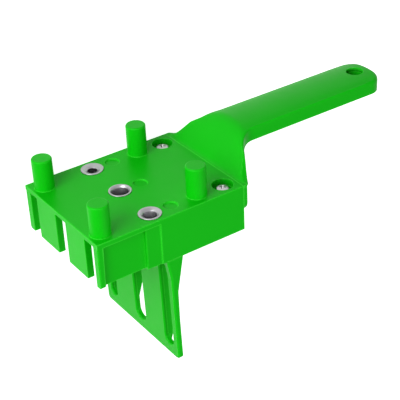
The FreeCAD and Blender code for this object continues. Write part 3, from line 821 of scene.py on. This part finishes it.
class JIG_OT_handle(bpy.types.Operator):
    """Build the handle moulding: skin, flange, ribs, foot and hanging hole"""
    bl_idname = "jig.handle"
    bl_label = "Handle"

    def execute(self, context):
        form = sizes("handle")
        hole, radius = form.end - form.hole_inset, form.hole / 2
        lip, proud, spare, low = 0.6 * MM, 0.02 * MM, 5.0 * MM, 5.0 * MM
        crest = form.grip_top + proud
        bore = np.concatenate([[(0.0, low), (radius, low)],
                               arc((radius + lip, crest - lip), lip, start=180, end=90),
                               [(radius + lip, crest + spare), (0.0, crest + spare)]])
        bore = turned(bore, hole, 0.0, sizes("studio").turn)
        skin = add_piece("handle_skin", [handle_skin(form)])
        cut_away(skin, [add_piece("hole_cutter", [(bore, False, True, None)])])
        rest = add_piece("handle_inside", handle_inside(form))
        handle = joined("handle_moulding", [skin, rest])
        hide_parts("handle")
        dress(handle, moulded_plastic("handle plastic", 3.0), "jig")
        return {"FINISHED"}


def joined(name, things):
    """One object from several, whose own objects go."""
    work = bmesh.new()
    for thing in things:
        work.from_mesh(thing.data)
    mesh = bpy.data.meshes.new(name)
    work.to_mesh(mesh)
    work.free()
    for thing in things:
        bpy.data.meshes.remove(thing.data)
    return add_object(name, mesh)


def bush_profile(bore, form):
    """Section of a bush: up the outside, over the rounded edge and the flat rim, down the lead-in
    cone and the bore."""
    outer, low, high = form.bush_diameter / 2, -form.bush_length, form.bush_stand
    edge, near = 0.3 * MM, 0.08 * MM
    mouth, throat = outer - form.bush_rim, high - form.bush_lead
    slope = (high - throat) / (mouth - bore)
    return np.concatenate([[(bore, low), (outer - edge, low), (outer, low + edge)],
                           arc((outer - edge, high - edge), edge, start=0, end=90),
                           [(mouth + near, high), (mouth - near, high - near * slope),
                            (bore + near, throat + near * slope), (bore, throat - near)]])


class JIG_OT_bushes(bpy.types.Operator):
    """Turn the three hardened drill bushes"""
    bl_idname = "jig.bushes"
    bl_label = "Drill bushes"

    def execute(self, context):
        form = sizes("steel")
        tint, play = sizes("colours").bush, 0.05 * MM
        for name, across, dowel in BUSHES:
            profile = bush_profile(dowel / 2 + play, form)
            ring = turned(profile, 0.0, across, sizes("studio").turn)
            bush = add_piece("drill_bush_" + name, [(ring, True, True, None)])
            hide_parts("bush_" + name)
            dress(bush, turned_steel("bush steel " + name, tint, across), "jig")
        return {"FINISHED"}


def screw_shank(form, across):
    """Threaded shank: its radius falls and rises with the height less the turn, one pitch a turn,
    and tapers to the point."""
    ridge_depth, point, point_least = 0.28, 3.0 * MM, 0.04
    top, tip = -form.head_seat, -form.head_seat - form.shank_length
    h = np.linspace(top, tip, num=220)[:, None]
    a = np.linspace(0, 2 * math.pi, num=40, endpoint=False)
    phase = np.mod(h / form.thread_pitch - a / (2 * math.pi), 1.0)
    ridge = 1.0 - ridge_depth * np.abs(2 * phase - 1.0)
    taper = np.clip((h - tip) / point, point_least, 1.0)
    r = form.shank / 2 * ridge * taper
    grid = np.stack([SCREW_ALONG + r * np.cos(a), np.broadcast_to(h, r.shape), across + r * np.sin(a)],
                    axis=2)
    return capped(grid), False, True, None


def cross_arm(form, across, angle):
    """One arm of the cross recess: a wedge that narrows downwards, turned about the screw's axis."""
    top = form.head_height - form.head_seat
    deep, wide, long = 1.8 * MM, 1.4 * MM, 5.2 * MM
    low_wide, low_long, spare = 0.7 * MM, 1.2 * MM, 0.5 * MM
    c, s = math.cos(math.radians(angle)), math.sin(math.radians(angle))
    rings = []
    for height, span, thick in ((top - deep, low_long, low_wide), (top + spare, long, wide)):
        corner = np.array([(span, thick), (-span, thick), (-span, -thick), (span, -thick)]) / 2
        rings.append(np.stack([SCREW_ALONG + corner[:, 0] * c - corner[:, 1] * s,
                               np.full(4, height), across + corner[:, 0] * s + corner[:, 1] * c], axis=1))
    return capped(np.array(rings)), False, True, None


class JIG_OT_screws(bpy.types.Operator):
    """Make the two pan-head handle screws"""
    bl_idname = "jig.screws"
    bl_label = "Handle screws"

    def execute(self, context):
        form = sizes("steel")
        head, seat = form.head_diameter / 2, -form.head_seat
        top = seat + form.head_height
        edge, side_round, dome_rise = 0.2 * MM, 1.2 * MM, 0.5 * MM
        dome_inset, side_top = 0.9 * MM, top - 1.7 * MM
        inwards = np.linspace(0, 1, num=8)
        dome = np.stack([(head - dome_inset) * (1 - inwards), top - dome_rise + dome_rise * inwards ** 0.6],
                        axis=1)
        profile = np.concatenate([[(0.0, seat), (head - edge, seat), (head, seat + edge)],
                                  arc((head - side_round, side_top), side_round, start=0, end=75),
                                  dome])
        for name, across in SCREWS:
            screw = add_piece("screw_head_" + name,
                              [(turned(profile, SCREW_ALONG, across, facets=72), False, True, None)])
            cut_away(screw, [add_piece("cross_%s_%d" % (name, angle), [cross_arm(form, across, angle)])
                             for angle in (45, 135)])
            shank = add_piece("screw_shank_" + name, [screw_shank(form, across)])
            screw = joined("pan_head_screw_" + name, [screw, shank])
            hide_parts("handle_screw_" + name)
            dress(screw, plated_steel("zinc " + name, sizes("colours").screw), "jig")
        return {"FINISHED"}


# Stage

def floor_finish(glow):
    """Pale floor that keeps the shadow; as camera, glass and metal see it, some white is added."""
    finish = Finish("pale floor")
    glowing = finish.mix_colours(finish.seen(), (0.0, 0.0, 0.0), (1.0, 1.0, 1.0))
    return finish.surface(Base_Color=(*sizes("colours").floor, 1.0), Roughness=0.9, Specular_IOR_Level=0.0,
                          Emission_Color=glowing, Emission_Strength=glow)


def lamp(name, place, target, power, width):
    """Square soft lamp at a place, facing a target."""
    light = bpy.data.lights.new(name, "AREA")
    light.energy = power
    light.size = width
    thing = bpy.data.objects.new(name, light)
    thing.location = place
    thing.rotation_euler = (Vector(target) - Vector(place)).to_track_quat("-Z", "Y").to_euler()
    bpy.context.scene.collection.objects.link(thing)


def set_world(strength):
    """White all round: full white as the camera and reflections see it, and a set fill on the object."""
    world = bpy.data.worlds.new("studio")
    bpy.context.scene.world = world
    world.use_nodes = True
    nodes = Nodes(world.node_tree)
    fill = nodes.node("Background", None, Color=WHITE, Strength=strength)
    white = nodes.node("Background", None, Color=WHITE)
    nodes.end("OutputWorld", nodes.node("MixShader", None, nodes.seen(), fill, white))


def set_camera(lens):
    """Camera at the photograph's place: it looks at the jig from in front, above and to the right,
    with the plate's outward direction nearly upright in the picture."""
    eye = Vector(EYE)
    ahead = (Vector(EYE_TARGET) - eye).normalized()
    right = ahead.cross(Vector((0.0, 1.0, 0.0))).normalized()
    up = right.cross(ahead)
    axes = Matrix((right, up, -ahead)).transposed() @ Matrix.Rotation(EYE_ROLL, 3, "Z")
    data = bpy.data.cameras.new("camera")
    data.lens = lens
    data.sensor_width = SENSOR
    data.clip_start, data.clip_end = 0.05, 10.0
    camera = bpy.data.objects.new("camera", data)
    camera.matrix_world = Matrix.Translation(eye) @ axes.to_4x4()
    bpy.context.scene.collection.objects.link(camera)
    bpy.context.scene.camera = camera


class JIG_OT_stage(bpy.types.Operator):
    """Set up floor, lamps, surrounding light and camera"""
    bl_idname = "jig.stage"
    bl_label = "Studio"

    def execute(self, context):
        studio = sizes("studio")
        level = CAD_BOX[0].z
        grid = np.array([[(side, end, level) for side in (-FLOOR_HALF, FLOOR_HALF)]
                         for end in (-FLOOR_HALF, FLOOR_HALF)])
        floor = add_piece("floor", [(grid, False, False, None)])
        floor.data.materials.append(floor_finish(studio.floor_glow))
        for name, place, width in LAMPS:
            lamp(name, place, LAMP_TARGET, getattr(studio, name), width)
        set_world(studio.fill)
        set_camera(studio.lens)
        context.scene.view_settings.view_transform = "Standard"
        return {"FINISHED"}


class JIG_PT_panel(bpy.types.Panel):
    """Sizes, colours and the steps that dress the jig"""
    bl_idname = "JIG_PT_panel"
    bl_label = "Doweling Jig"
    bl_space_type = "VIEW_3D"
    bl_region_type = "UI"
    bl_category = "Doweling Jig"

    def draw(self, context):
        layout = self.layout
        for operator in OPERATORS:
            layout.operator(operator.bl_idname)
        for name, group in zip(GROUP_NAMES, GROUPS):
            box = layout.box()
            box.label(text=group.__doc__)
            for key in group.__annotations__:
                box.prop(sizes(name), key)


GROUP_NAMES = ("body", "handle", "steel", "colours", "studio")
OPERATORS = (JIG_OT_body, JIG_OT_fence, JIG_OT_handle, JIG_OT_bushes, JIG_OT_screws, JIG_OT_stage)


def register():
    for part in GROUPS + OPERATORS + (JIG_PT_panel,):
        bpy.utils.register_class(part)
    for name, group in zip(GROUP_NAMES, GROUPS):
        setattr(bpy.types.Scene, "jig_" + name, PointerProperty(type=group))


def unregister():
    for name in GROUP_NAMES:
        delattr(bpy.types.Scene, "jig_" + name)
    for part in reversed(GROUPS + OPERATORS + (JIG_PT_panel,)):
        bpy.utils.unregister_class(part)


def main():
    register()
    bpy.ops.jig.body()
    bpy.ops.jig.fence()
    bpy.ops.jig.handle()
    bpy.ops.jig.bushes()
    bpy.ops.jig.screws()
    bpy.ops.jig.stage()


if __name__ == "__main__":
    main()
